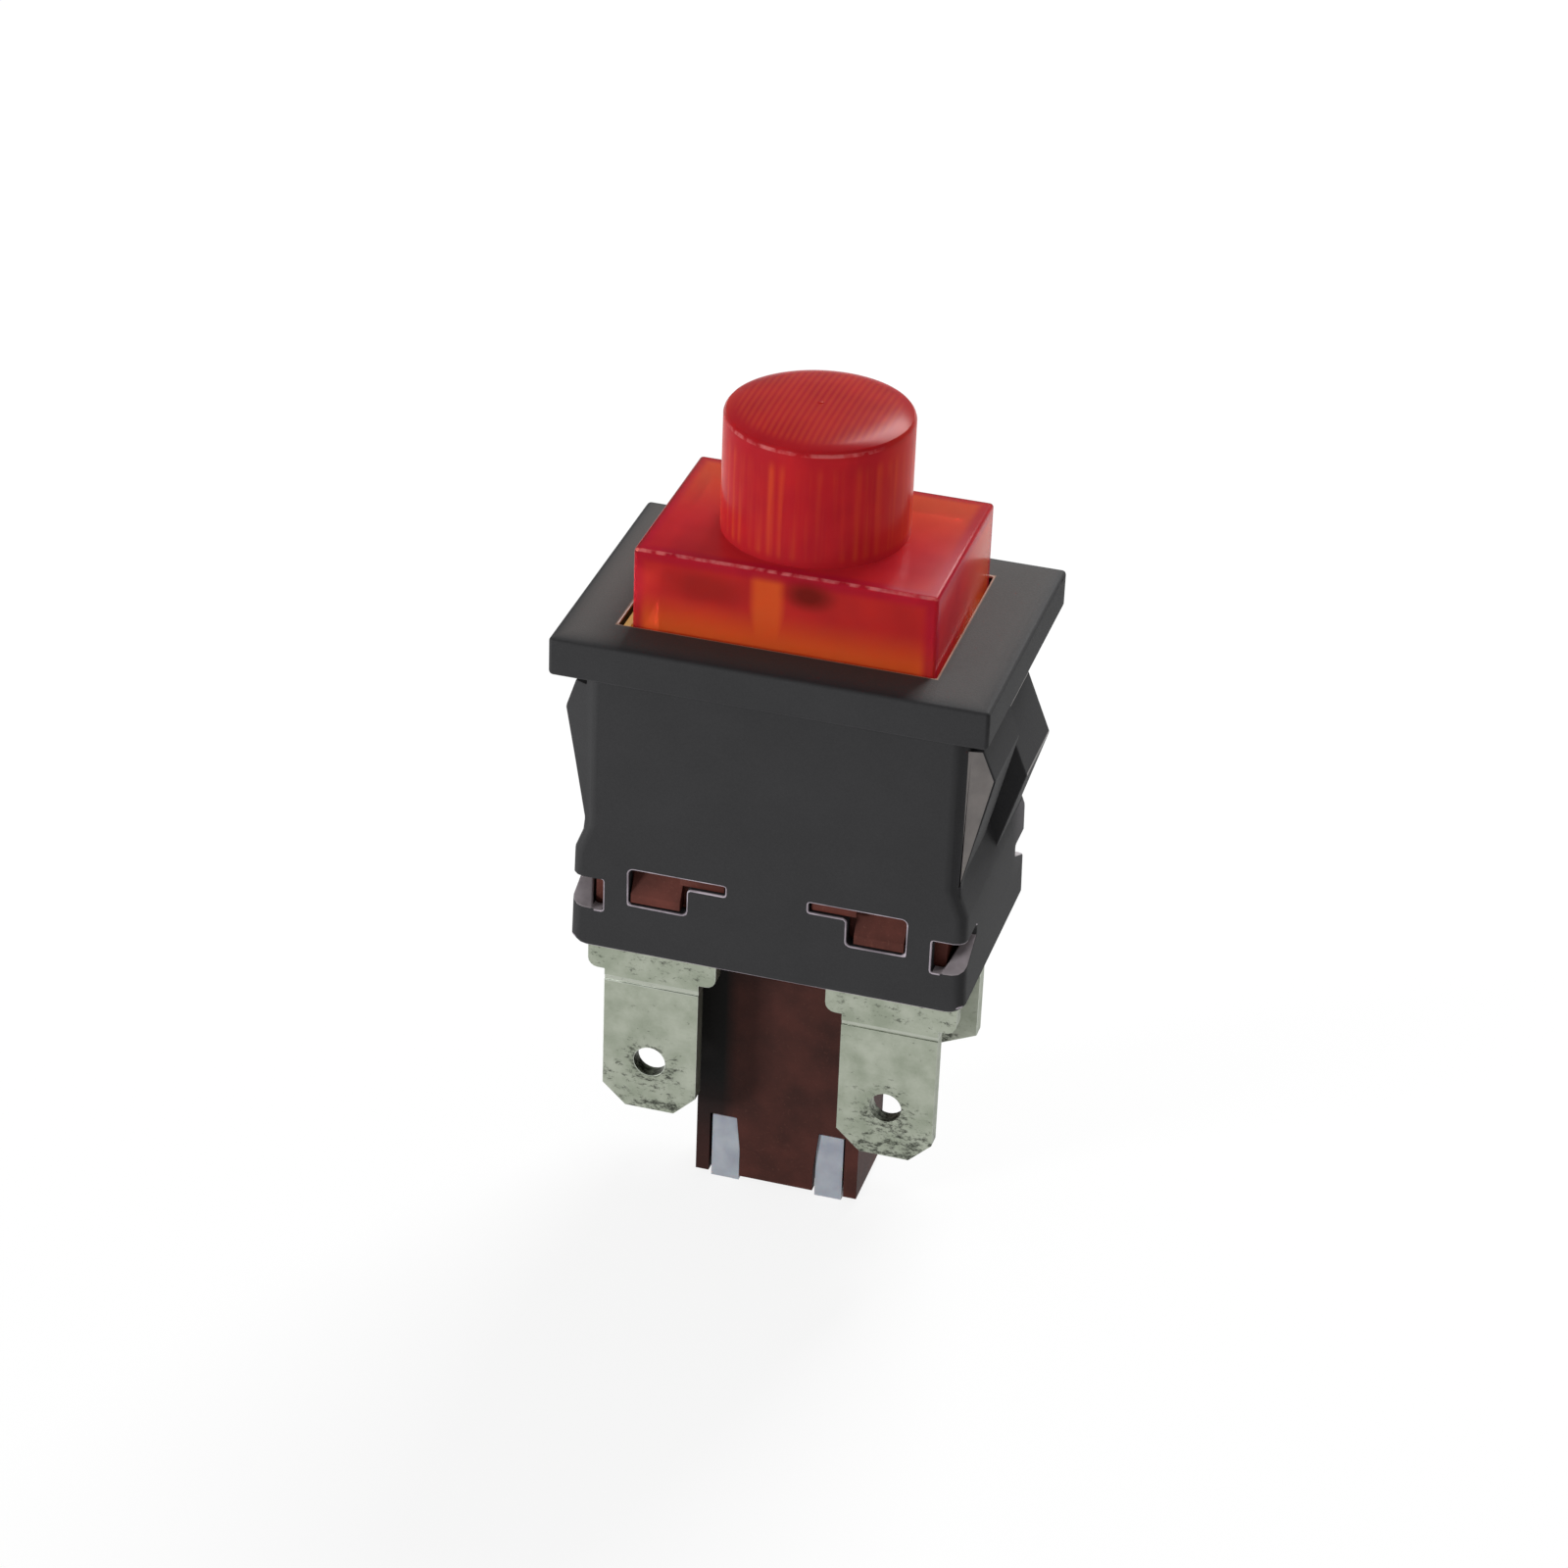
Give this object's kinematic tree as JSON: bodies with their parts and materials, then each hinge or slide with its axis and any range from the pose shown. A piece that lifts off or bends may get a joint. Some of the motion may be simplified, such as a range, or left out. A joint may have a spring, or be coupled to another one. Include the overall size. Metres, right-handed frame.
{
  "type": "illuminated pushbutton switch",
  "caption": "Illuminated snap-in pushbutton switch: red translucent box-shaped button with a round fluted cap, black bezel and body with snap fingers, brown contact base and tab terminals",
  "frame": {"origin": "Centre of the panel cut-out in the plane of the bezel's underside, where the switch seats on its panel", "axes": "+Z out of the panel along the button's travel, X along the bezel's long side, +Y away from the side seen in the picture"},
  "size_m": [0.0216, 0.015, 0.0424],
  "materials": {
    "black_nylon": "satin moulded black nylon",
    "brown_phenolic": "dull brown phenolic moulding",
    "red_lens": "polished red translucent moulding",
    "amber_frame": "amber translucent moulding",
    "white_nylon": "unpigmented white nylon",
    "tinned_brass": "tarnished tin plate over brass",
    "silver": "silver contact rivet",
    "brass": "plain sheet brass",
    "spring_steel": "plain spring wire",
    "tinned_wire": "tinned lead wire",
    "lamp_glass": "clear lamp glass",
    "resistor_body": "lacquered resistor body"
  },
  "bodies": {
    "housing": {"bezel_housing": "black_nylon", "contact_base": "brown_phenolic", "terminal_front_left": "tinned_brass", "terminal_front_right": "tinned_brass", "terminal_rear_left": "tinned_brass", "terminal_rear_right": "tinned_brass", "fixed_contact_front_left": "silver", "fixed_contact_front_right": "silver", "fixed_contact_rear_left": "silver", "fixed_contact_rear_right": "silver", "latch_leaf": "spring_steel", "return_spring": "spring_steel", "lamp_spring_left": "spring_steel", "lamp_spring_right": "spring_steel"},
    "button": {"button_lens": "red_lens", "diffuser_frame": "amber_frame", "plunger": "white_nylon", "neon_lamp": "lamp_glass", "lamp_resistor": "resistor_body", "lamp_lead_resistor": "tinned_wire", "lamp_lead_middle": "tinned_wire", "lamp_lead_right": "tinned_wire", "lamp_pad_left": "brass", "lamp_pad_right": "brass", "bridge_spring_left": "spring_steel", "bridge_spring_right": "spring_steel"},
    "bridge_left": {"bridge_left": "brass", "moving_contact_front_left": "silver", "moving_contact_rear_left": "silver"},
    "bridge_right": {"bridge_right": "brass", "moving_contact_front_right": "silver", "moving_contact_rear_right": "silver"},
    "latch": {"latch_pin": "spring_steel"}
  },
  "joints": [
    {"name": "button_press", "type": "slide", "parent": "housing", "child": "button", "axis": [0, 0, -1], "range_m": [0, 0.003], "stiffness_N_per_m": 600, "springref_m": -0.0015, "deforming": ["return_spring", "lamp_spring_left", "lamp_spring_right"]},
    {"name": "bridge_left_lift", "type": "slide", "parent": "button", "child": "bridge_left", "axis": [0, 0, 1], "range_m": [0, 0.00126], "deforming": ["bridge_spring_left"]},
    {"name": "bridge_right_lift", "type": "slide", "parent": "button", "child": "bridge_right", "axis": [0, 0, 1], "range_m": [0, 0.00126], "deforming": ["bridge_spring_right"]},
    {"name": "latch_swing", "type": "hinge", "parent": "housing", "child": "latch", "pos_m": [0, 0.003, -0.0133], "axis": [0, 1, 0], "range_deg": [-2, 2], "stiffness_Nm_per_rad": 0.00001}
  ],
  "couplings": [
    {"joint": "bridge_left_lift", "follows": "button_press", "ratio": 0.4167},
    {"joint": "bridge_right_lift", "follows": "button_press", "ratio": 0.4167}
  ]
}
